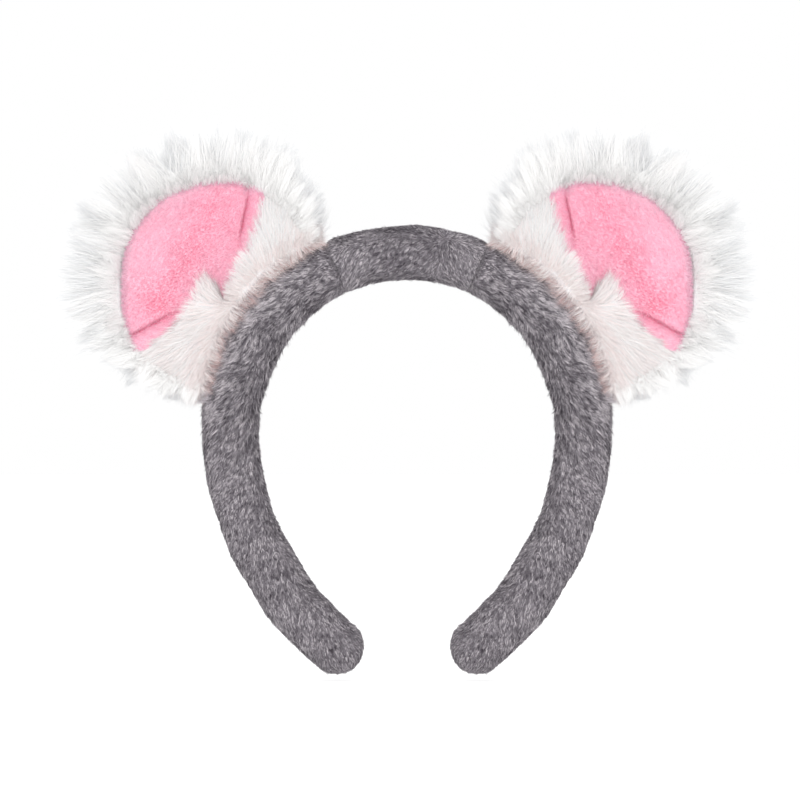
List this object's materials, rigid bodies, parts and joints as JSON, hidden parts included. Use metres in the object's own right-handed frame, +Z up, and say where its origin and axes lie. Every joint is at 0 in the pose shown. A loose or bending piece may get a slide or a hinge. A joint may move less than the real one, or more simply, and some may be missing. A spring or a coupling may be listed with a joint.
{
  "type": "animal ears headband",
  "caption": "Padded C-shaped hoop in grey plush with a round pink-lined, white-furred ear standing on each side.",
  "frame": {"origin": "centre of the round inner arc that rests on the head, midway between the hoop's front and back", "axes": "+X to the right as seen from the front, +Y to the back along the inner arc's axis, +Z up to the crown; the pink ear linings face -Y"},
  "size_m": [0.2612, 0.0381, 0.213],
  "materials": {
    "hoop_plastic": "smooth moulded",
    "foam": "open-cell foam",
    "grey_plush": "short heathered grey pile",
    "white_fur": "long white pile",
    "pink_plush": "soft short pink pile",
    "batting": "loose fibre batting",
    "grey_thread": "twisted sewing thread",
    "pink_thread": "twisted sewing thread",
    "white_thread": "twisted sewing thread"
  },
  "bodies": {
    "crown": {"crown_cover": "grey_plush", "crown_seam": "grey_thread", "left_cross_seam": "grey_thread", "right_cross_seam": "grey_thread", "band_core": "hoop_plastic", "band_foam": "foam"},
    "left_leg": {"left_leg_cover": "grey_plush", "left_leg_seam": "grey_thread"},
    "left_ear": {"left_ear_back": "white_fur", "left_ear_lining": "pink_plush", "left_ear_filling": "batting", "left_ear_edge_seam": "pink_thread", "left_ear_fold_stitches": "white_thread", "left_ear_base_stitches": "grey_thread"},
    "right_leg": {"right_leg_cover": "grey_plush", "right_leg_seam": "grey_thread"},
    "right_ear": {"right_ear_back": "white_fur", "right_ear_lining": "pink_plush", "right_ear_filling": "batting", "right_ear_edge_seam": "pink_thread", "right_ear_fold_stitches": "white_thread", "right_ear_base_stitches": "grey_thread"}
  },
  "joints": [
    {"name": "left_leg_flex", "type": "hinge", "parent": "crown", "child": "left_leg", "pos_m": [-0.03335, 0, 0.07491], "axis": [0, 1, 0], "range_deg": [0, 20], "stiffness_Nm_per_rad": 0.6, "deforming": ["band_core", "band_foam"]},
    {"name": "left_ear_flop", "type": "hinge", "parent": "left_leg", "child": "left_ear", "pos_m": [-0.06462, 0, 0.05048], "axis": [0.6157, 0, 0.788], "range_deg": [-20, 30], "stiffness_Nm_per_rad": 0.15},
    {"name": "right_leg_flex", "type": "hinge", "parent": "crown", "child": "right_leg", "pos_m": [0.03335, 0, 0.07491], "axis": [0, -1, 0], "range_deg": [0, 20], "stiffness_Nm_per_rad": 0.6, "deforming": ["band_core", "band_foam"]},
    {"name": "right_ear_flop", "type": "hinge", "parent": "right_leg", "child": "right_ear", "pos_m": [0.06462, 0, 0.05048], "axis": [0.6157, 0, -0.788], "range_deg": [-20, 30], "stiffness_Nm_per_rad": 0.15}
  ]
}
